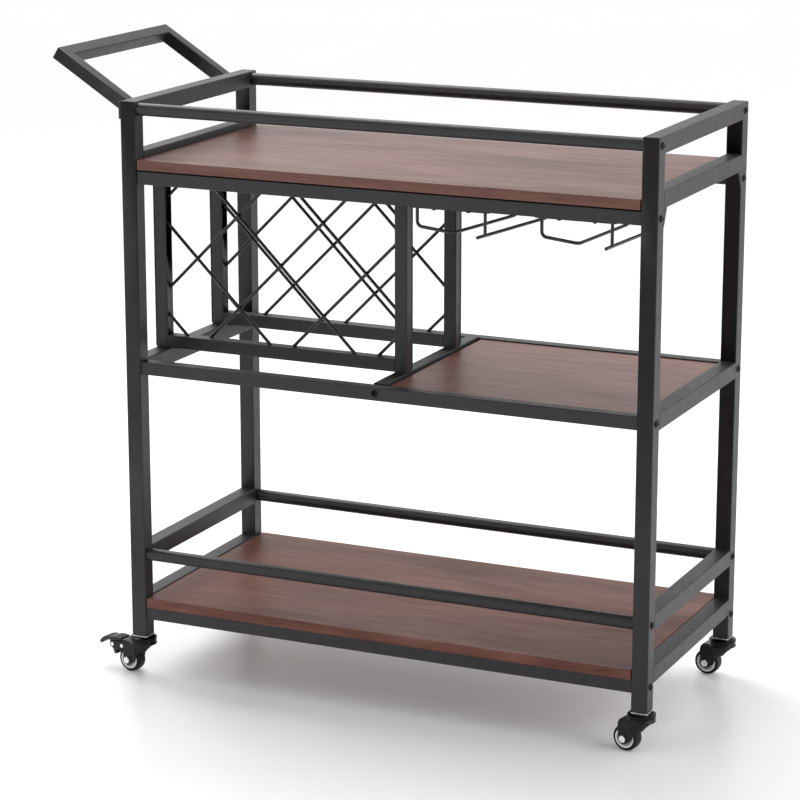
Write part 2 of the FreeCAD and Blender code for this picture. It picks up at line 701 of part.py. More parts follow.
def brake_pedal():
    """Foot pedal with the cam that swings against the tyre."""
    px, pz = BRAKE_PIVOT
    top = [(-34.0, 52.0), (-50.0, 51.6), (-64.0, 50.0), (-73.0, 46.5), (-80.0, 40.0)]
    under = [(-78.0, 38.0), (-71.5, 43.8), (-63.5, 47.2), (-50.0, 48.6), (-34.0, 49.0)]
    plate = polygon([vec(x, -11.0, z) for x, z in top + under]).extrude(vec(0, 22.0, 0))
    cam_outline = [(-62.0, 48.2), (-60.0, 40.0), (-57.0, 33.5), (-54.0, 31.0), (-52.5, 24.5), (-50.5, 23.5),
                   (-47.0, 24.0), (-47.0, 30.0), (-47.5, 40.0), (-45.0, 49.0)]
    cam = polygon([vec(x, -9.9, z) for x, z in cam_outline]).extrude(vec(0, 19.8, 0))
    bore = cylinder(PIN_D / 2 + RUN_CLEARANCE, vec(px, -20, pz), vec(0, 1, 0), 40)
    return plate.fuse(cam).cut(bore).removeSplitter()


def brake_pins():
    """Pedal pivot and a second rivet, both with domed heads outside the fork."""
    pins = []
    for px, pz in (BRAKE_PIVOT, BRAKE_RIVET):
        pin = cylinder(PIN_D / 2, vec(px, -FORK_OUT, pz), vec(0, 1, 0), 2 * FORK_OUT)
        for y, way in ((-FORK_OUT, -1), (FORK_OUT, 1)):
            pin = pin.fuse(Part.makeCone(3.2, 2.0, 1.4, vec(px, y, pz), vec(0, way, 0)))
        pins.append(pin)
    return Part.makeCompound(pins)


def place_caster(shape, corner):
    """Turn a caster part about its stem and move it under its leg."""
    x = LEFT + LEG / 2 if corner[1] == "l" else RIGHT - LEG / 2
    y = -LEG_Y if corner[0] == "f" else LEG_Y
    placed = shape.copy()
    placed.rotate(vec(0, 0, 0), vec(0, 0, 1), CASTER_TURN[corner])
    placed.translate(vec(x, y, 0))
    return placed


def casters():
    parts = {}
    for corner in CASTER_TURN:
        name = "caster_" + corner
        braked = corner in BRAKED
        parts[name + "_stem"] = place_caster(caster_stem(), corner)
        parts[name + "_fork"] = place_caster(fork(braked), corner)
        parts[name + "_axle"] = place_caster(axle_bolt(), corner)
        parts[name + "_rim"] = place_caster(rim(), corner)
        parts[name + "_tyre"] = place_caster(tyre(), corner)
        if braked:
            parts[name + "_pedal"] = place_caster(brake_pedal(), corner)
            parts[name + "_pins"] = place_caster(brake_pins(), corner)
    return parts


def build():
    parts = {}
    parts["end_frame_left"] = end_frame(LEFT + LEG / 2, LEFT)
    parts["end_frame_right"] = end_frame(RIGHT - LEG / 2, RIGHT - 3.0)
    for name, sign in SIDES.items():
        for level in LONG_RAIL_Z:
            parts[level + "_rail_" + name] = long_rail(level, sign)
        for level in PIPE_Z:
            parts[level + "_pipe_" + name] = pipe_rail(level, sign)
        parts["rack_frame_" + name] = rack_frame(sign)
        parts["rack_lattice_" + name] = rack_lattice(sign)
    parts["cross_bar"] = cross_bar()
    parts["top_board"] = top_board()
    parts["mid_board"] = mid_board()
    parts["low_board"] = low_board()
    parts["board_spacers"] = board_spacers()
    parts["shelf_tabs"] = shelf_tabs()
    parts["glass_holder_left"] = glass_holder(0)
    parts["glass_holder_right"] = glass_holder(1)
    parts["holder_screws"] = holder_screws()
    parts["board_screws"] = board_screws()
    parts["handle"] = handle()
    parts["frame_bolts"] = frame_bolts()
    parts["leg_inserts"] = leg_inserts()
    parts.update(casters())
    return parts


os.makedirs("parts", exist_ok=True)
for part_name, part_shape in build().items():
    part_shape.exportStep("parts/" + part_name + ".step")
    print(part_name, len(part_shape.Solids), "solids", part_shape.BoundBox)
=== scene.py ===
import bpy
import bmesh
import json
import math
from mathutils import Matrix, Vector


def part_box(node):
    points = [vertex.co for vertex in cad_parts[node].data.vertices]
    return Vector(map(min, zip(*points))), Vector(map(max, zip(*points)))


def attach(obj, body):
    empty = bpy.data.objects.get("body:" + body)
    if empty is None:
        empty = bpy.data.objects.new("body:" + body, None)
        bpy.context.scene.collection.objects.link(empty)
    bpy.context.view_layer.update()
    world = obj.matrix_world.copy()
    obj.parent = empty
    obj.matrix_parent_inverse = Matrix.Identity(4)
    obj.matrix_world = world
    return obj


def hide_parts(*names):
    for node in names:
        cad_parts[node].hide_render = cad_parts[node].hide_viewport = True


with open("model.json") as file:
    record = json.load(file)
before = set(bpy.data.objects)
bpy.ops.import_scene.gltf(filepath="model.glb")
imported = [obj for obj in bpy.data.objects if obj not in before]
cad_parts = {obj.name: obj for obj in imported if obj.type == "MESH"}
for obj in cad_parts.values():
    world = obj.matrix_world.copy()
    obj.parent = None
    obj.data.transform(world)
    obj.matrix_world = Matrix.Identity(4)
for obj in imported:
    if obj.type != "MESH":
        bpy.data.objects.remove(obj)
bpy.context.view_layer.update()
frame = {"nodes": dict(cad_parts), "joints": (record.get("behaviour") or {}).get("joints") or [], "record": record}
nodes = frame["nodes"]
record = frame["record"]
joints = {j["name"]: j for j in frame["joints"]}
bodyOf = {n: b for b, names in record["behaviour"]["bodies"].items() for n in names}
slotOf = {s["node"]: s["material_slot"] for s in record["subparts"]}
scene = bpy.context.scene
mm = 0.001
print("frame loaded:", len(nodes), "nodes")


noiseSpan = (0.3, 0.7)  # most of a noise texture's values lie between these


# small helpers for building node materials
def startMaterial(name):
    mat = bpy.data.materials.new(name)
    mat.use_nodes = True
    shader = mat.node_tree.nodes["Principled BSDF"]
    return mat, shader


def addNode(mat, kind, **values):
    node = mat.node_tree.nodes.new(kind)
    for key, value in values.items():
        setattr(node, key, value)
    return node


def link(mat, a, b):
    mat.node_tree.links.new(a, b)


def noiseOn(mat, vector, scale, detail=3.0, roughness=0.5, distortion=0.0):
    node = addNode(mat, "ShaderNodeTexNoise")
    node.inputs["Scale"].default_value = scale
    node.inputs["Detail"].default_value = detail
    node.inputs["Roughness"].default_value = roughness
    node.inputs["Distortion"].default_value = distortion
    link(mat, vector, node.inputs["Vector"])
    return node.outputs["Fac"]


def rampOn(mat, fac, stops):
    node = addNode(mat, "ShaderNodeValToRGB")
    ramp = node.color_ramp
    while len(ramp.elements) < len(stops):
        ramp.elements.new(0.5)
    for element, (place, colour) in zip(ramp.elements, stops):
        element.position = place
        element.color = (*colour, 1.0)
    link(mat, fac, node.inputs["Fac"])
    return node.outputs["Color"]


def rangeOn(mat, fac, low, high, fromLow=0.0, fromHigh=1.0):
    node = addNode(mat, "ShaderNodeMapRange")
    node.inputs["From Min"].default_value = fromLow
    node.inputs["From Max"].default_value = fromHigh
    node.inputs["To Min"].default_value = low
    node.inputs["To Max"].default_value = high
    link(mat, fac, node.inputs["Value"])
    return node.outputs["Result"]


def mixOn(mat, a, b, fac, blend):
    node = addNode(mat, "ShaderNodeMix", data_type="RGBA", blend_type=blend)
    node.inputs["Factor"].default_value = fac
    link(mat, a, node.inputs["A"])
    link(mat, b, node.inputs["B"])
    return node.outputs["Result"]


def bumpOn(mat, height, strength, distance):
    node = addNode(mat, "ShaderNodeBump")
    node.inputs["Strength"].default_value = strength
    node.inputs["Distance"].default_value = distance
    link(mat, height, node.inputs["Height"])
    return node.outputs["Normal"]


def objectPlace(mat, scale=(1.0, 1.0, 1.0), location=(0.0, 0.0, 0.0)):
    place = addNode(mat, "ShaderNodeTexCoord")
    mapping = addNode(mat, "ShaderNodeMapping")
    mapping.inputs["Scale"].default_value = scale
    mapping.inputs["Location"].default_value = location
    link(mat, place.outputs["Object"], mapping.inputs["Vector"])
    return mapping.outputs["Vector"]


# painted steel: a fine orange-peel skin with pale specks
paintSettings = {
    "frame": {"dark": (0.0100, 0.0088, 0.0105), "light": (0.0180, 0.0162, 0.0188), "speck": 0.017,
              "rough": (0.41, 0.52), "bump": 0.18, "specular": 0.46},
    "wire": {"dark": (0.0060, 0.0055, 0.0065), "light": (0.0130, 0.0125, 0.0140), "speck": 0.010,
             "rough": (0.24, 0.34), "bump": 0.10, "specular": 0.48},
    "fork": {"dark": (0.0024, 0.0021, 0.0026), "light": (0.0056, 0.0050, 0.0060), "speck": 0.004,
             "rough": (0.20, 0.29), "bump": 0.10, "specular": 0.29},
    "race": {"dark": (0.0020, 0.0019, 0.0022), "light": (0.0040, 0.0038, 0.0042), "speck": 0.002,
             "rough": (0.12, 0.20), "bump": 0.05, "specular": 0.16},
    "screw": {"dark": (0.0022, 0.0021, 0.0024), "light": (0.0045, 0.0043, 0.0048), "speck": 0.002,
              "rough": (0.10, 0.17), "bump": 0.05, "specular": 0.18},
    "grainPerMetre": 1400.0,
    "mottlePerMetre": 60.0,
    "grainHeight": 0.0004,
}


def paintedSteel(name, finish):
    mat, shader = startMaterial(name)
    coat = paintSettings[finish]
    place = objectPlace(mat)
    grain = noiseOn(mat, place, paintSettings["grainPerMetre"], 2.0, 0.6)
    mottle = noiseOn(mat, place, paintSettings["mottlePerMetre"], 4.0, 0.55)
    base = rampOn(mat, mottle, [(0.35, coat["dark"]), (0.70, coat["light"])])
    specks = rampOn(mat, grain, [(0.60, (0, 0, 0)), (0.74, (coat["speck"],) * 3)])
    colour = mixOn(mat, base, specks, 1.0, "ADD")
    link(mat, colour, shader.inputs["Base Color"])
    link(mat, rangeOn(mat, mottle, *coat["rough"], *noiseSpan), shader.inputs["Roughness"])
    link(mat, bumpOn(mat, grain, coat["bump"], paintSettings["grainHeight"]), shader.inputs["Normal"])
    shader.inputs["Specular IOR Level"].default_value = coat["specular"]
    return mat


# walnut laminate: streaks and flowing bands along the cart
woodSettings = {
    "deep": (0.085, 0.034, 0.024),
    "brown": (0.158, 0.068, 0.050),
    "warm": (0.205, 0.094, 0.071),
    "pale": (0.262, 0.134, 0.104),
    "pore": (0.40, 0.32, 0.29),
    "warpPerMetre": 2.2,
    "warpReach": 0.16,
    "bandsPerMetre": 9.0,
    "streaksPerMetre": 150.0,
    "streakTones": [(0.32, (0.62, 0.58, 0.56)), (0.60, (1.06, 1.05, 1.05))],
    "poresPerStreak": 4.5,
    "poreHeight": 0.0003,
    "poreBump": 0.12,
    "stretch": 0.045,
    "streakDepth": 0.55,
    "poreDepth": 0.45,
    "rough": (0.34, 0.45),
    "gloss": {"top": 0.30, "middle": 0.31, "low": 0.13, "edge": 0.30, "lowEdge": 0.25},
    # painted light and shade: each place scales the same walnut lighter or darker for how the light falls on it,
    # and the low board's edge is painted much lighter
    "lift": {"top": 0.90, "middle": 1.0, "low": 0.96, "edge": 1.05, "lowEdge": 1.85},
}


def walnutLaminate(name, place, shift):
    mat, shader = startMaterial(name)
    s = woodSettings
    # slow warping of the grain before it is drawn out along X
    broad = objectPlace(mat, (0.9, 2.4, 2.4), shift)
    warp = noiseOn(mat, broad, s["warpPerMetre"], 3.0, 0.5)
    stretched = objectPlace(mat, (s["stretch"] * 4, 1.0, 1.0), shift)
    offset = addNode(mat, "ShaderNodeCombineXYZ")
    link(mat, rangeOn(mat, warp, -s["warpReach"], s["warpReach"]), offset.inputs["Y"])
    moved = addNode(mat, "ShaderNodeVectorMath", operation="ADD")
    link(mat, stretched, moved.inputs[0])
    link(mat, offset.outputs["Vector"], moved.inputs[1])
    bands = noiseOn(mat, moved.outputs["Vector"], s["bandsPerMetre"], 5.0, 0.62, 0.25)
    fine = objectPlace(mat, (s["stretch"], 1.0, 1.0), shift)
    streaks = noiseOn(mat, fine, s["streaksPerMetre"], 4.0, 0.65)
    hair = objectPlace(mat, (s["stretch"] * 0.55, 1.0, 1.0), shift)
    pores = noiseOn(mat, hair, s["streaksPerMetre"] * s["poresPerStreak"], 2.0, 0.5)
    # painted light: this place's brightness factor
    lift = s["lift"][place]
    tones = ((0.30, "deep"), (0.44, "brown"), (0.56, "warm"), (0.72, "pale"))
    base = rampOn(mat, bands, [(spot, tuple(c * lift for c in s[key])) for spot, key in tones])
    streakTone = rampOn(mat, streaks, s["streakTones"])
    colour = mixOn(mat, base, streakTone, s["streakDepth"], "MULTIPLY")
    poreTone = rampOn(mat, pores, [(0.30, s["pore"]), (0.42, (1, 1, 1))])
    colour = mixOn(mat, colour, poreTone, s["poreDepth"], "MULTIPLY")
    link(mat, colour, shader.inputs["Base Color"])
    link(mat, rangeOn(mat, streaks, s["rough"][1], s["rough"][0], *noiseSpan), shader.inputs["Roughness"])
    link(mat, bumpOn(mat, pores, s["poreBump"], s["poreHeight"]), shader.inputs["Normal"])
    shader.inputs["Specular IOR Level"].default_value = s["gloss"][place]
    return mat


# plated metal
metalSettings = {
    "zinc": (0.90, 0.90, 0.91),
    "zincRough": (0.20, 0.34),
    "plug": (0.96, 0.96, 0.97),
    "plugRough": (0.45, 0.58),
    "linesPerMetre": 900.0,
    "lineBump": 0.08,
    "lineHeight": 0.0002,
    "cloudPerMetre": 220.0,
    "dullness": 0.82,
}


def platedSteel(name, colour, rough):
    mat, shader = startMaterial(name)
    place = objectPlace(mat, (1.0, 1.0, 0.12))
    lines = noiseOn(mat, place, metalSettings["linesPerMetre"], 3.0, 0.6)
    cloud = noiseOn(mat, objectPlace(mat), metalSettings["cloudPerMetre"], 3.0, 0.5)
    dull = tuple(c * metalSettings["dullness"] for c in colour)
    link(mat, rampOn(mat, cloud, [(0.35, dull), (0.65, colour)]), shader.inputs["Base Color"])
    link(mat, rangeOn(mat, lines, *rough, *noiseSpan), shader.inputs["Roughness"])
    lineBump = bumpOn(mat, lines, metalSettings["lineBump"], metalSettings["lineHeight"])
    link(mat, lineBump, shader.inputs["Normal"])
    shader.inputs["Metallic"].default_value = 1.0
    return mat


# moulded plastic, rubber and felt
mouldedSettings = {
    "tyre": {"tones": (0.003, 0.008), "rough": (0.34, 0.48), "grain": 1600.0,
             "bump": 0.10, "specular": 0.18},
    "rim": {"tones": (0.72, 0.84), "rough": (0.28, 0.38), "grain": 900.0,
            "bump": 0.06, "specular": 0.50},
    # the hub is painted near-black, a painted shade for the web sitting in shadow inside the rim
    "hub": {"tones": (0.003, 0.009), "rough": (0.35, 0.45), "grain": 900.0,
            "bump": 0.20, "specular": 0.35},
    "pedal": {"tones": (0.005, 0.015), "rough": (0.28, 0.42), "grain": 1100.0,
              "bump": 0.20, "specular": 0.45},
    "felt": {"tones": (0.006, 0.012), "rough": (0.85, 0.95), "grain": 2500.0,
             "bump": 0.50, "specular": 0.20},
    "glue": {"tones": (0.008, 0.016), "rough": (0.50, 0.60), "grain": 900.0,
             "bump": 0.10, "specular": 0.30},
    "cloudPerMetre": 90.0,
    "grainHeight": 0.0003,
}


def moulded(name, finish):
    mat, shader = startMaterial(name)
    s = mouldedSettings[finish]
    place = objectPlace(mat)
    fine = noiseOn(mat, place, s["grain"], 3.0, 0.6)
    cloud = noiseOn(mat, place, mouldedSettings["cloudPerMetre"], 4.0, 0.5)
    dark, light = [(tone, tone, tone * 1.03) for tone in s["tones"]]
    link(mat, rampOn(mat, cloud, [(0.35, dark), (0.68, light)]), shader.inputs["Base Color"])
    link(mat, rangeOn(mat, cloud, *s["rough"], *noiseSpan), shader.inputs["Roughness"])
    link(mat, bumpOn(mat, fine, s["bump"], mouldedSettings["grainHeight"]), shader.inputs["Normal"])
    shader.inputs["Specular IOR Level"].default_value = s["specular"]
    return mat


framePaint = paintedSteel("framePaint", "frame")
wirePaint = paintedSteel("wirePaint", "wire")
forkPaint = paintedSteel("forkPaint", "fork")
racePaint = paintedSteel("racePaint", "race")
screwBlack = paintedSteel("screwBlack", "screw")
# the walnut copies for each place are made lighter or darker as painted light and shade
boardTop = walnutLaminate("walnutTop", "top", (0.3, 0.1, 0.0))
boardMid = walnutLaminate("walnutMid", "middle", (1.7, 0.6, 0.2))
boardLow = walnutLaminate("walnutLow", "low", (2.9, 1.3, 0.5))
boardEdge = walnutLaminate("walnutEdge", "edge", (4.1, 2.2, 0.7))
lowEdge = walnutLaminate("walnutLowEdge", "lowEdge", (5.3, 0.9, 1.1))
zincPlate = platedSteel("zincPlate", metalSettings["zinc"], metalSettings["zincRough"])
plugPlate = platedSteel("plugPlate", metalSettings["plug"], metalSettings["plugRough"])
tyreRubber = moulded("tyreRubber", "tyre")
rimPlastic = moulded("rimPlastic", "rim")
# painted shade: the near-black hub and spokes
hubPaintedShade = moulded("hubPaintedShade", "hub")
pedalPlastic = moulded("pedalPlastic", "pedal")
spacerFelt = moulded("spacerFelt", "felt")
glueLine = moulded("glueLine", "glue")
paints = {
    "frame_steel": framePaint,
    "wire_steel": wirePaint,
    "board_wood": boardTop,
    "spacer_felt": spacerFelt,
    "black_screw": screwBlack,
    "zinc_insert": plugPlate,
    "caster_black": forkPaint,
    "zinc_bolt": zincPlate,
    "rim_grey": rimPlastic,
    "tyre_black": tyreRubber,
    "pedal_plastic": pedalPlastic,
}
print("materials made:", len(bpy.data.materials))


# small helpers for meshes
def paint(obj, *materials):
    obj.data.materials.clear()
    for mat in materials:
        obj.data.materials.append(mat)


def copyOf(node):
    # the node's own mesh is loose triangles, so the copy is merged first
    bm = bmesh.new()
    bm.from_mesh(nodes[node].data)
    bmesh.ops.remove_doubles(bm, verts=bm.verts, dist=0.004 * mm)
    return bm


def islandsOf(bm):
    # the separate solids of a node, as lists of vertices
    seen = set()
    found = []
    for vert in bm.verts:
        if vert in seen:
            continue
        group = []
        waiting = [vert]
        seen.add(vert)
        while waiting:
            v = waiting.pop()
            group.append(v)
            for edge in v.link_edges:
                other = edge.other_vert(v)
                if other not in seen:
                    seen.add(other)
                    waiting.append(other)
        found.append(group)
    return found


def islandBoxes(node):
    bm = copyOf(node)
    boxes = []
    for group in islandsOf(bm):
        low = Vector([min(v.co[i] for v in group) for i in range(3)])
        high = Vector([max(v.co[i] for v in group) for i in range(3)])
        boxes.append((low, high))
    bm.free()
    return boxes


def sharpEdges(bm, angle):
    limit = math.radians(angle)
    return [e for e in bm.edges if len(e.link_faces) == 2 and e.calc_face_angle(0.0) > limit]


def finishPiece(bm, name, body, materials):
    # rounds shade smoothly, and edges steeper than 35 degrees stay sharp
    for face in bm.faces:
        face.smooth = True
    for edge in sharpEdges(bm, 35.0):
        edge.smooth = False
    mesh = bpy.data.meshes.new(name)
    bm.to_mesh(mesh)
    bm.free()
    obj = bpy.data.objects.new(name, mesh)
    scene.collection.objects.link(obj)
    paint(obj, *materials)
    obj.modifiers.new("faceWeights", "WEIGHTED_NORMAL").keep_sharp = True
    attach(obj, body)
    return obj


def carryOver(node):
    # the same shape as the node, with its round faces shaded smoothly
    slotName = slotOf[node]
    piece = finishPiece(copyOf(node), node + ".skin", bodyOf[node], [paints[slotName]])
    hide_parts(node)


for name in nodes:
    paint(nodes[name], paints[slotOf[name]])


def gather(parts):
    # several small meshes made into one
    whole = bmesh.new()
    for part in parts:
        mesh = bpy.data.meshes.new("part")
        part.to_mesh(mesh)
        part.free()
        whole.from_mesh(mesh)
        bpy.data.meshes.remove(mesh)
    return whole


def cleanUp(bm):
    bmesh.ops.remove_doubles(bm, verts=bm.verts, dist=0.001)
    bmesh.ops.recalc_face_normals(bm, faces=bm.faces)
    return bm


def soften(bm, width, segments=2, angle=40.0):
    bmesh.ops.bevel(bm, geom=sharpEdges(bm, angle), offset=width, offset_type="OFFSET",
                    affect="EDGES", segments=segments, profile=0.5, material=-1, clamp_overlap=True)
    return bm


def spun(points, centre, axis, steps=48, ring=False):
    # turns a line of points right round an axis
    bm = bmesh.new()
    verts = [bm.verts.new(p) for p in points]
    edges = [bm.edges.new(pair) for pair in zip(verts, verts[1:])]
    if ring:
        edges.append(bm.edges.new((verts[-1], verts[0])))
    bmesh.ops.spin(bm, geom=verts + edges, cent=centre, axis=axis, dvec=(0, 0, 0),
                   angle=math.tau, steps=steps, use_merge=True, use_duplicate=False)
    return cleanUp(bm)


def plate(outline, yLow, yHigh, width=0.4, segments=2):
    # a flat outline in X and Z given a thickness along Y
    bm = bmesh.new()
    face = bm.faces.new([bm.verts.new((x, yLow, z)) for x, z in outline])
    grown = bmesh.ops.extrude_face_region(bm, geom=[face])
    moved = [g for g in grown["geom"] if isinstance(g, bmesh.types.BMVert)]
    bmesh.ops.translate(bm, verts=moved, vec=(0, yHigh - yLow, 0))
    bmesh.ops.recalc_face_normals(bm, faces=bm.faces)
    return soften(bm, width, segments)


def arc(cx, cz, radius, start, end, count):
    turns = [math.radians(start + (end - start) * i / (count - 1)) for i in range(count)]
    return [(cx + radius * math.cos(t), cz + radius * math.sin(t)) for t in turns]


def setFaces(bm, index):
    for face in bm.faces:
        face.material_index = index
    return bm


def move(bm, matrix):
    bmesh.ops.transform(bm, matrix=matrix, verts=bm.verts)
    return bm


def alignedTo(place, way, scale=1.0):
    # a shape drawn along Z is turned to point along way, scaled and set down at place
    turn = way.to_track_quat("Z", "Y").to_matrix().to_4x4()
    return Matrix.Translation(place) @ turn @ Matrix.Scale(scale, 4)


# boards: laminated panel, edge band and the thin glue line between them, in millimetres
boardSettings = {
    "edgeRadius": 0.9,
    "bandWidth": 1.1,
    "glueWidth": 0.25,
    "flat": 0.99,
    "materials": {
        "top_board": (boardTop, boardEdge),
        "mid_board": (boardMid, boardEdge),
        # the low board's edge band takes the lighter walnut copy, painted light
        "low_board": (boardLow, lowEdge),
    },
}


def makeBoard(node):
    s = boardSettings
    panel, edgeBand, glue = 0, 1, 2
    low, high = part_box(node)
    size = high - low
    bm = bmesh.new()
    bmesh.ops.create_cube(bm, size=1.0)
    bmesh.ops.scale(bm, verts=bm.verts, vec=size)
    bmesh.ops.translate(bm, verts=bm.verts, vec=(low + high) / 2)
    bmesh.ops.bevel(bm, geom=list(bm.edges), offset=s["edgeRadius"] * mm, offset_type="OFFSET",
                    affect="EDGES", segments=3, profile=0.5, material=-1)
    setFaces(bm, edgeBand)
    for face in [f for f in bm.faces if abs(f.normal.z) > s["flat"]]:
        bmesh.ops.inset_individual(bm, faces=[face], thickness=s["bandWidth"] * mm)
        face.material_index = glue
        bmesh.ops.inset_individual(bm, faces=[face], thickness=s["glueWidth"] * mm)
        face.material_index = panel
    materials = [*s["materials"][node], glueLine]
    piece = finishPiece(bm, node + ".panel", bodyOf[node], materials)
    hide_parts(node)


for boardNode in boardSettings["materials"]:
    makeBoard(boardNode)
print("boards made")

# tubes, rods and wires keep their own shape, shaded smoothly
smoothSlots = ("frame_steel", "wire_steel", "zinc_insert", "spacer_felt")
for name in list(nodes):
    if slotOf[name] in smoothSlots and not name.startswith("caster"):
        carryOver(name)
carryOver("holder_screws")
carryOver("board_screws")
print("tubes and wires carried over")

# button-head bolts with a domed head and hexagon socket, in millimetres
boltSettings = {
    "dome": [(5.5, 0.0), (5.5, 0.45), (5.32, 1.0), (4.85, 1.7), (4.1, 2.35), (3.2, 2.82), (2.75, 2.95)],
    "headHeight": 3.0,
    "socketRadius": 2.3,
    "socketDepth": 1.7,
    "shankRadius": 2.95,
    "shankTaper": 0.5,
}


def buttonBolt(grip):
    s = boltSettings
    head = spun([(r, 0, z) for r, z in s["dome"]], (0, 0, 0), (0, 0, 1), 32)
    rim = [e for e in head.edges if e.is_boundary and e.verts[0].co.z > s["headHeight"] / 2]
    mouth = Matrix.Translation((0, 0, s["dome"][-1][1]))
    made = bmesh.ops.create_circle(head, segments=6, radius=s["socketRadius"], matrix=mouth)
    hexEdges = list({e for v in made["verts"] for e in v.link_edges})
    bmesh.ops.bridge_loops(head, edges=rim + hexEdges)
    sunk = bmesh.ops.extrude_edge_only(head, edges=hexEdges)
    sunkVerts = [g for g in sunk["geom"] if isinstance(g, bmesh.types.BMVert)]
    sunkEdges = [g for g in sunk["geom"] if isinstance(g, bmesh.types.BMEdge)]
    bmesh.ops.translate(head, verts=sunkVerts, vec=(0, 0, -s["socketDepth"]))
    bmesh.ops.edgeloop_fill(head, edges=[e for e in sunkEdges if e.is_boundary])
    under = [e for e in head.edges if e.is_boundary]
    bmesh.ops.edgeloop_fill(head, edges=under)
    bmesh.ops.recalc_face_normals(head, faces=head.faces)
    shank = bmesh.new()
    bmesh.ops.create_cone(shank, cap_ends=True, segments=20, radius1=s["shankRadius"] - s["shankTaper"],
                          radius2=s["shankRadius"], depth=grip,
                          matrix=Matrix.Translation((0, 0, -grip / 2)))
    return gather([head, shank])


def makeBolts():
    parts = []
    for low, high in islandBoxes("frame_bolts"):
        size = high - low
        centre = (low + high) / 2
        along = 0 if size.x > size.y else 1
        outward = Vector((0, 0, 0))
        outward[along] = 1.0 if centre[along] > 0 else -1.0
        seat = centre.copy()
        seat[along] = (high if centre[along] > 0 else low)[along]
        seat -= outward * boltSettings["headHeight"] * mm
        grip = size[along] / mm - boltSettings["headHeight"]
        bolt = buttonBolt(grip)
        move(bolt, alignedTo(seat, outward, mm))
        parts.append(bolt)
    piece = finishPiece(gather(parts), "frame_bolts.heads", bodyOf["frame_bolts"],
                        [screwBlack])
    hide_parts("frame_bolts")


makeBolts()
print("bolts made")

# weld beads where rails and posts meet, in millimetres
weldSettings = {
    "radius": 0.9,
    "ripple": 0.16,
    "pitch": 1.3,
    "short": 1.6,
    "sideRailLength": 0.3,  # these three are in metres, and tell the rails apart
    "legInside": 0.18,
    "rackRailLength": 0.2,
}


def weldBead(start, end):
    # a rippled line of weld along one inside corner
    s = weldSettings
    way = end - start
    length = way.length / mm - 2 * s["short"]
    count = max(4, int(length / s["pitch"]) * 2)
    points = [(0.0, 0.0, 0.0)]
    for i in range(count + 1):
        swell = 1.0 + s["ripple"] * (1 if i % 2 else -1)
        points.append((s["radius"] * swell, 0.0, 0.3 + (length - 0.6) * i / count))
    points.append((0.0, 0.0, length))
    bead = spun(points, (0, 0, 0), (0, 0, 1), 8)
    first = start + way.normalized() * (s["short"] * mm)
    return move(bead, alignedTo(first, way, mm))


def railEnd(low, high, y, inner):
    # above, below and inside of a side rail's end, where it meets the leg
    return [
        (Vector((low.x, y, high.z)), Vector((high.x, y, high.z))),
        (Vector((low.x, y, low.z)), Vector((high.x, y, low.z))),
        (Vector((inner, y, low.z)), Vector((inner, y, high.z))),
    ]


def addWelds(beads, node):
    finishPiece(gather(beads), node + ".welds", bodyOf[node], [framePaint])


def makeFrameWelds(node):
    s = weldSettings
    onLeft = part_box(node)[0].x < 0
    beads = []
    for low, high in islandBoxes(node):
        # the side rails lie between the legs, and the mitred top rail reaches past them
        if (high - low).y > s["sideRailLength"] and high.y < s["legInside"]:
            for y in (low.y, high.y):
                ends = railEnd(low, high, y, high.x if onLeft else low.x)
                beads += [weldBead(a, b) for a, b in ends]
    addWelds(beads, node)


def makeRackWelds(node):
    beads = []
    for low, high in islandBoxes(node):
        if (high - low).x > weldSettings["rackRailLength"]:
            for x in (low.x, high.x):
                for z in (low.z, high.z):
                    beads.append(weldBead(Vector((x, low.y, z)), Vector((x, high.y, z))))
                for y in (low.y, high.y):
                    beads.append(weldBead(Vector((x, y, low.z)), Vector((x, y, high.z))))
    addWelds(beads, node)


for node in ("end_frame_left", "end_frame_right"):
    makeFrameWelds(node)
for node in ("rack_frame_front", "rack_frame_back"):
    makeRackWelds(node)
print("welds made")

# casters, drawn in millimetres with the stem on the Z axis and the wheel trailing to -X
casterSettings = {
    "raceProfile": [
        (4.0, 56.0), (19.6, 56.0), (20.6, 56.3), (21.0, 57.0), (21.0, 59.2), (20.7, 60.2), (19.6, 61.0),
        (18.4, 61.3), (17.6, 62.1), (16.8, 62.5), (5.0, 62.5), (5.0, 81.2), (4.2, 82.0), (0.0, 82.0),
    ],
    "kingPin": [(4.0, 56.0), (4.0, 48.6), (6.5, 48.6), (6.5, 46.6), (5.2, 45.4), (0.0, 45.4)],
    "cupProfile": [
        (4.2, 51.6), (17.5, 51.6), (18.4, 55.4), (19.2, 55.6), (20.0, 55.3), (20.3, 54.4), (19.6, 52.6),
        (20.3, 51.5), (21.0, 50.9), (21.0, 49.6), (20.5, 49.0), (4.2, 49.0),
    ],
    "frontReach": [(51.0, 19.6), (49.0, 18.2), (45.0, 14.0), (38.5, 7.0), (31.0, 0.8), (19.0, -9.0)],
    "shoulder": [(-33.0, 39.0), (-32.6, 43.0), (-31.4, 46.6), (-29.2, 49.4), (-26.4, 51.0)],
    "shoulderInside": [(-26.8, 48.9), (-28.0, 47.9), (-29.5, 45.8), (-30.4, 43.0)],
    "squareShoulder": [(-33.0, 39.0), (-33.0, 44.0), (-33.2, 48.6), (-33.8, 50.6), (-33.2, 51.2)],
    "squareInside": [(-31.8, 48.8), (-31.2, 47.8), (-31.0, 46.0), (-31.0, 43.0)],
    "earTop": [(-30.0, 47.5), (-45.0, 46.2), (-53.0, 45.2)],
    "earUnder": [(-46.5, 33.6), (-38.0, 31.0), (-31.0, 29.0)],
    "earLobe": 5.0,
    "sideTop": -11.5,
    "sideFoot": -7.6,
    "topZ": 51.0,
    "footZ": 25.0,
    "frontArch": 7.0,
    "bow": 1.25,
    "ridge": 1.6,
    "sideOut": 12.4,
    "sheet": 2.0,
    "axle": (-23.0, 20.0),
    "lobe": 9.0,
}
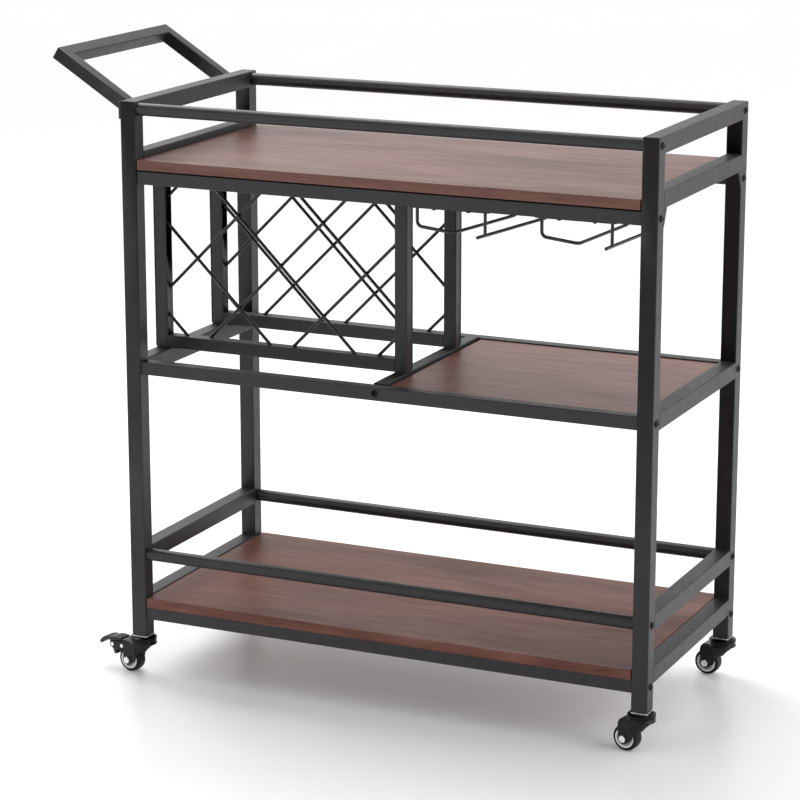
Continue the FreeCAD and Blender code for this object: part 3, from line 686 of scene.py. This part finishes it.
wheelSettings = {
    "tyre": [
        (15.2, -8.6), (15.9, -9.0), (17.2, -9.0), (18.2, -8.7), (19.0, -8.0), (19.6, -6.9), (19.9, -5.4),
        (20.0, -3.0), (20.0, 3.0), (19.9, 5.4), (19.6, 6.9), (19.0, 8.0), (18.2, 8.7), (17.2, 9.0),
        (15.9, 9.0), (15.2, 8.6),
    ],
    "ring": [
        (15.2, -9.0), (14.9, -9.35), (12.9, -9.35), (12.5, -9.0),
        (12.5, 9.0), (12.9, 9.35), (14.9, 9.35), (15.2, 9.0),
    ],
    "hub": [
        (12.6, -8.7), (12.2, -8.4), (11.2, -4.2), (7.6, -3.8),
        (7.0, -4.4), (6.6, -9.2), (6.2, -9.6), (3.05, -9.6),
        (3.05, 9.6), (6.2, 9.6), (6.6, 9.2), (7.0, 4.4),
        (7.6, 3.8), (11.2, 4.2), (12.2, 8.4), (12.6, 8.7),
    ],
    "spokes": 6,
    "spokeSize": (5.0, 1.6, 1.3),
    "spokeMiddle": (9.2, 4.6),
}
axleSettings = {"boltRadius": 2.95, "headRadius": 5.75, "headHeight": 4.0, "nutHeight": 4.5}
pinSettings = {
    "places": [(-53.7, 40.0), (-34.7, 40.3)],
    "dome": [(0.0, 1.35), (1.4, 1.25), (2.4, 0.9), (3.1, 0.3), (3.15, 0.0), (1.95, 0.0)],
}
pedalSettings = {
    "top": [
        (-37.6, 52.0), (-44.0, 52.4), (-50.0, 52.2), (-55.0, 51.4), (-58.6, 50.0), (-62.0, 50.5),
        (-66.0, 50.2), (-70.0, 49.0), (-74.5, 46.6), (-78.6, 43.2), (-80.4, 40.2),
    ],
    "under": [
        (-80.0, 37.8), (-77.8, 36.9), (-75.0, 37.9), (-71.5, 41.0), (-66.0, 44.4), (-60.0, 46.4),
        (-50.0, 47.4), (-36.0, 47.6),
    ],
    "cam": [
        (-62.0, 47.0), (-60.4, 40.0), (-57.6, 34.0), (-54.4, 31.0), (-52.7, 24.7), (-50.6, 23.6),
        (-47.2, 24.2), (-47.2, 30.0), (-47.7, 40.0), (-45.2, 48.0),
    ],
    "ribs": [  # along, up, lean
        (-41.5, 52.2, -3.0), (-45.5, 52.3, 1.0), (-49.5, 52.1, 4.0), (-63.0, 50.3, 2.0),
        (-66.5, 50.0, 8.0), (-70.0, 48.9, 22.0), (-73.4, 47.1, 30.0),
    ],
    "ribSize": (1.3, 18.0, 1.1),
    "plateHalf": 11.0,
    "camHalf": 9.6,
}


def reachAt(z):
    table = casterSettings["frontReach"]
    for (z1, x1), (z0, x0) in zip(table, table[1:]):
        if z >= z0:
            share = min(1.0, (z - z0) / (z1 - z0))
            return x0 + (x1 - x0) * share
    return table[-1][1]


def sideAt(z):
    # the front edge of a side plate leans forward towards its foot
    s = casterSettings
    share = min(1.0, (s["topZ"] - z) / (s["topZ"] - s["footZ"]))
    return s["sideTop"] + (s["sideFoot"] - s["sideTop"]) * share


def frontShell():
    # the front of the fork, drawn down row by row, with a ridge where it meets the side plates
    s = casterSettings
    bm = bmesh.new()
    count, rows, top = 20, 9, s["topZ"]
    turns = [math.pi * i / count for i in range(count + 1)]
    line = [bm.verts.new((0, 0, top)) for _ in turns]
    edges = [bm.edges.new(pair) for pair in zip(line, line[1:])]
    order = {v: i for i, v in enumerate(line)}

    def settle(verts, share):
        for v in verts:
            t = turns[order[v]]
            bottom = s["footZ"] + s["frontArch"] * math.sin(t) ** 0.8
            z = top + (bottom - top) * share
            forward = 1.0 - abs(math.cos(t)) ** s["bow"]
            v.co = (sideAt(z) + (reachAt(z) - sideAt(z)) * forward, -s["sideOut"] * math.cos(t), z)

    settle(line, 0.0)
    for row in range(1, rows + 1):
        grown = bmesh.ops.extrude_edge_only(bm, edges=edges)
        fresh = [g for g in grown["geom"] if isinstance(g, bmesh.types.BMVert)]
        above = [next(e.other_vert(v) for e in v.link_edges if e.other_vert(v) in order) for v in fresh]
        order.update({v: order[a] for v, a in zip(fresh, above)})
        edges = [g for g in grown["geom"] if isinstance(g, bmesh.types.BMEdge)]
        settle(fresh, row / rows)
    bmesh.ops.recalc_face_normals(bm, faces=bm.faces)
    front = max(bm.faces, key=lambda f: f.calc_center_median().x)
    if front.normal.x < 0:
        bmesh.ops.reverse_faces(bm, faces=bm.faces)
    bmesh.ops.solidify(bm, geom=list(bm.faces), thickness=s["sheet"])
    return bm


def sidePlate(yLow, yHigh, shoulder):
    s = casterSettings
    ax, az = s["axle"]
    front = [(s["sideTop"] + 0.4, s["topZ"]), (s["sideFoot"] + 0.3, s["footZ"] + 1.0),
             (s["sideFoot"] - 0.4, s["footZ"] - 2.6), (-10.4, 18.4)]
    foot = arc(ax, az, s["lobe"], -48.0, -195.0, 12)
    return plate(front + foot + shoulder, yLow, yHigh, 0.5)


def ridgeBead(y):
    # the rolled edge where a side plate turns into the front
    s = casterSettings
    start = Vector((s["sideTop"] - 0.2, y, 50.4))
    end = Vector((s["sideFoot"] - 0.2, y, s["footZ"] + 0.8))
    bead = bmesh.new()
    bmesh.ops.create_cone(bead, cap_ends=True, segments=24, radius1=s["ridge"], radius2=s["ridge"],
                          depth=(end - start).length)
    move(bead, alignedTo((start + end) / 2, end - start))
    return soften(bead, 0.6, 3, 60.0)


def brakeEar(yLow, yHigh):
    s = casterSettings
    px, pz = pinSettings["places"][0]
    lobe = arc(px, pz, s["earLobe"], 80.0, 260.0, 8)
    return plate(s["earTop"] + lobe + s["earUnder"], yLow, yHigh, 0.4)


def onStem(profile, steps, ring=False):
    # turned about the stem from (radius, height) points
    return spun([(r, 0, z) for r, z in profile], (0, 0, 0), (0, 0, 1), steps, ring)


def makeFork(braked):
    s = casterSettings
    out, thick = s["sideOut"], s["sheet"]
    shoulder = s["squareShoulder"] if braked else s["shoulder"]
    inside = s["squareInside"] if braked else s["shoulderInside"]
    parts = [setFaces(onStem(s["cupProfile"], 56, True), 1), frontShell()]
    for low, high in ((-out, -out + thick), (out - thick, out)):
        parts.append(sidePlate(low, high, shoulder))
        parts.append(ridgeBead(low + 1.45 if low < 0 else high - 1.45))
        if braked:
            parts.append(brakeEar(low + 0.05, high - 0.05))
    # bent rear bridge between the two side plates, under the race
    bridge = shoulder[1:] + [(-10.0, s["topZ"]), (-10.0, 48.9)] + inside
    parts.append(plate(bridge, -out + 0.1, out - 0.1, 0.5))
    return gather(parts)


def makeStem():
    return gather([onStem(casterSettings["raceProfile"], 56), onStem(casterSettings["kingPin"], 24)])


def onWheel(profile, steps=64, ring=True):
    # turned about the axle from (radius, across) points
    ax, az = casterSettings["axle"]
    return spun([(ax + r, y, az) for r, y in profile], (ax, 0, az), (0, 1, 0), steps, ring)


def smallRib(size, width):
    rib = bmesh.new()
    bmesh.ops.create_cube(rib, size=1.0)
    bmesh.ops.scale(rib, verts=rib.verts, vec=size)
    return soften(rib, width)


def makeRim():
    w = wheelSettings
    ax, az = casterSettings["axle"]
    ring = setFaces(onWheel(w["ring"]), 0)
    # the hub and spokes take the near-black painted shade
    hub = setFaces(onWheel(w["hub"], 48), 1)
    parts = [ring, hub]
    for side in (-1, 1):
        for i in range(w["spokes"]):
            turn = Matrix.Rotation(math.tau * i / w["spokes"], 4, "Y")
            out, across = w["spokeMiddle"]
            place = Matrix.Translation((ax, 0, az)) @ turn @ Matrix.Translation((out, side * across, 0))
            parts.append(setFaces(move(smallRib(w["spokeSize"], 0.3), place), 1))
    return gather(parts)


def makeTyre():
    return onWheel(wheelSettings["tyre"], 72)


def hexHead(yFace, outward, height):
    # hexagon with a thin chamfer round its outer face
    bm = bmesh.new()
    radius = axleSettings["headRadius"]
    bmesh.ops.create_cone(bm, cap_ends=True, segments=6, radius1=radius, radius2=radius, depth=height)
    outer = [e for e in bm.edges if all(v.co.z > 0 for v in e.verts)]
    bmesh.ops.bevel(bm, geom=outer, offset=0.5, offset_type="OFFSET", affect="EDGES", segments=1,
                    profile=0.5, material=-1)
    ax, az = casterSettings["axle"]
    turn = Vector((0, outward, 0)).to_track_quat("Z", "X").to_matrix().to_4x4()
    centre = Vector((ax, yFace + outward * height / 2, az))
    spin = Matrix.Rotation(math.radians(15), 4, "Z")
    return move(bm, Matrix.Translation(centre) @ turn @ spin)


def makeAxle():
    s = axleSettings
    out = casterSettings["sideOut"]
    head = hexHead(-out, -1, s["headHeight"])
    nut = hexHead(out, 1, s["nutHeight"])
    radius, end = s["boltRadius"], out + 6.0
    rod = [(0.0, -out), (radius, -out), (radius, end - 0.6), (radius - 0.45, end), (0.0, end)]
    return gather([head, nut, onWheel(rod, 24, False)])


def makePins():
    out = casterSettings["sideOut"]
    near = [(r, -out - height) for r, height in pinSettings["dome"]]
    profile = near + [(r, -y) for r, y in reversed(near)]
    parts = []
    for x, z in pinSettings["places"]:
        parts.append(spun([(x + r, y, z) for r, y in profile], (x, 0, z), (0, 1, 0), 24))
    return gather(parts)


def makePedal():
    # humped foot plate with a thick turned-down tip, grip ribs on top and the cam below
    s = pedalSettings
    parts = [
        plate(s["top"] + s["under"], -s["plateHalf"], s["plateHalf"], 0.9, 3),
        plate(s["cam"], -s["camHalf"], s["camHalf"], 0.7),
    ]
    for x, z, lean in s["ribs"]:
        turn = Matrix.Rotation(math.radians(-lean), 4, "Y")
        parts.append(move(smallRib(s["ribSize"], 0.35), Matrix.Translation((x, 0, z)) @ turn))
    return gather(parts)


def casterPlace(corner):
    # from the caster's own millimetres to its place and turn under the leg
    pivot = joints["swivel_" + corner + "_turn"]["pos_m"]
    across = joints["wheel_" + corner + "_spin"]["axis"]
    turn = Matrix.Rotation(math.atan2(-across[0], across[1]), 4, "Z")
    return Matrix.Translation((pivot[0], pivot[1], 0)) @ turn @ Matrix.Scale(mm, 4)


def placePart(bm, corner, node, materials):
    move(bm, casterPlace(corner))
    piece = finishPiece(bm, node + ".made", bodyOf[node], materials)
    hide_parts(node)


for corner in ("fl", "fr", "bl", "br"):
    base = "caster_" + corner
    braked = base + "_pedal" in nodes
    placePart(makeStem(), corner, base + "_stem", [racePaint])
    placePart(makeFork(braked), corner, base + "_fork", [forkPaint, racePaint])
    placePart(makeAxle(), corner, base + "_axle", [zincPlate])
    placePart(makeRim(), corner, base + "_rim", [rimPlastic, hubPaintedShade])
    placePart(makeTyre(), corner, base + "_tyre", [tyreRubber])
    if braked:
        placePart(makePedal(), corner, base + "_pedal", [pedalPlastic])
        placePart(makePins(), corner, base + "_pins", [zincPlate])
print("casters made")

# floor, light and camera
stageSettings = {
    "floorColour": (0.88, 0.88, 0.89),
    "floorRough": 0.32,
    # painted light: the floor's glow, from near the cart to far away
    "floorGlow": (0.06, 0.18),
    "glowReach": (0.45, 1.3),
    "floorHalf": 30.0,
    "skyFront": 0.42,
    "skyBack": 1.05,
    "skySpread": (-0.6, 0.2),
    "topLight": {"place": (-1.5, 1.1, 2.9), "aim": (0.1, 0.0, 0.4), "size": 2.2, "power": 66.0},
    "rightLight": {"place": (3.2, -0.3, 1.6), "aim": (0.2, 0.0, 0.5), "size": 2.4, "power": 44.0},
    "frontLight": {"place": (-1.8, -3.2, 1.7), "aim": (0.0, 0.0, 0.4), "size": 1.6, "power": 20.0},
}


def makeFloor():
    bm = bmesh.new()
    bmesh.ops.create_grid(bm, x_segments=1, y_segments=1, size=stageSettings["floorHalf"])
    mesh = bpy.data.meshes.new("floor")
    bm.to_mesh(mesh)
    bm.free()
    floor = bpy.data.objects.new("floor", mesh)
    scene.collection.objects.link(floor)
    mat, shader = startMaterial("paleFloor")
    soft = noiseOn(mat, objectPlace(mat), 3.0, 2.0, 0.5)
    colour = stageSettings["floorColour"]
    shade = tuple(c * 0.985 for c in colour)
    link(mat, rampOn(mat, soft, [(0.3, shade), (0.7, colour)]), shader.inputs["Base Color"])
    shader.inputs["Roughness"].default_value = stageSettings["floorRough"]
    shader.inputs["Emission Color"].default_value = (1.0, 1.0, 1.0, 1.0)
    # the floor glows, a painted light that is brighter away from the cart and weaker near it, a painted shadow
    # there
    distance = addNode(mat, "ShaderNodeVectorMath", operation="LENGTH")
    link(mat, objectPlace(mat, location=(-0.2, 0.0, 0.0)), distance.inputs[0])
    glow = rangeOn(mat, distance.outputs["Value"],
                   *stageSettings["floorGlow"], *stageSettings["glowReach"])
    link(mat, glow, shader.inputs["Emission Strength"])
    paint(floor, mat)


def makeLight(name, settings):
    light = bpy.data.lights.new(name, "AREA")
    light.shape = "DISK"
    light.size = settings["size"]
    light.energy = settings["power"]
    lamp = bpy.data.objects.new(name, light)
    scene.collection.objects.link(lamp)
    lamp.location = settings["place"]
    way = Vector(settings["aim"]) - Vector(settings["place"])
    lamp.rotation_euler = way.to_track_quat("-Z", "Y").to_euler()


def makeSky():
    # white room, dimmer on the side that the front of the cart faces
    world = bpy.data.worlds.new("whiteRoom")
    world.use_nodes = True
    background = world.node_tree.nodes["Background"]
    background.inputs["Color"].default_value = (1.0, 1.0, 1.0, 1.0)
    place = world.node_tree.nodes.new("ShaderNodeTexCoord")
    split = world.node_tree.nodes.new("ShaderNodeSeparateXYZ")
    spread = world.node_tree.nodes.new("ShaderNodeMapRange")
    limits = (*stageSettings["skySpread"], stageSettings["skyFront"], stageSettings["skyBack"])
    for socket, value in zip(("From Min", "From Max", "To Min", "To Max"), limits):
        spread.inputs[socket].default_value = value
    world.node_tree.links.new(place.outputs["Generated"], split.inputs["Vector"])
    world.node_tree.links.new(split.outputs["Y"], spread.inputs["Value"])
    world.node_tree.links.new(spread.outputs["Result"], background.inputs["Strength"])
    scene.world = world


makeFloor()
makeSky()
for lightName in ("topLight", "rightLight", "frontLight"):
    makeLight(lightName, stageSettings[lightName])

cameraSettings = {
    "aim": (0.007, -0.002, 0.435),
    "azimuth": 24.73,
    "elevation": 14.15,
    "distance": 4.39,
    "lens": 129.1,
}


def makeCamera():
    a = math.radians(cameraSettings["azimuth"])
    e = math.radians(cameraSettings["elevation"])
    back = Vector((math.sin(a) * math.cos(e), -math.cos(a) * math.cos(e), math.sin(e)))
    data = bpy.data.cameras.new("camera")
    data.lens = cameraSettings["lens"]
    data.sensor_width = 36.0
    cam = bpy.data.objects.new("camera", data)
    scene.collection.objects.link(cam)
    cam.location = Vector(cameraSettings["aim"]) + back * cameraSettings["distance"]
    cam.rotation_euler = (-back).to_track_quat("-Z", "Y").to_euler()
    scene.camera = cam


makeCamera()
scene.view_settings.view_transform = "Standard"
print("stage, lights and camera ready")
